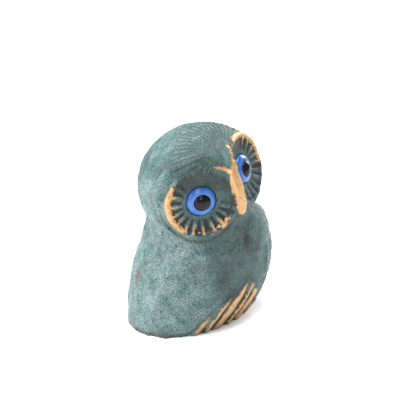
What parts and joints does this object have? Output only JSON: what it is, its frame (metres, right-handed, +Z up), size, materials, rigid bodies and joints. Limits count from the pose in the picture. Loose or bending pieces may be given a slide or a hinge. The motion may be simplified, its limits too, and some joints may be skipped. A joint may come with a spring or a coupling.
{
  "type": "owl statue",
  "caption": "Small cast bronze owl ornament with green patina, polished highlights and blue glass eyes, body in profile and head turned to one side.",
  "frame": {"origin": "on the flat underside, under the middle of the footprint", "axes": "+Z up; +X towards the owl's breast, -X towards its tail; the face is turned to -Y"},
  "size_m": [0.0422, 0.0327, 0.0548],
  "materials": {
    "patinated_bronze": "green patina, rubbed bright on raised edges",
    "blue_glass": "opaque polished glass",
    "black_glass": "opaque polished glass"
  },
  "bodies": {
    "root": {"owl_casting": "patinated_bronze", "eye_right": "blue_glass", "eye_left": "blue_glass", "pupil_right": "black_glass", "pupil_left": "black_glass"}
  },
  "joints": []
}
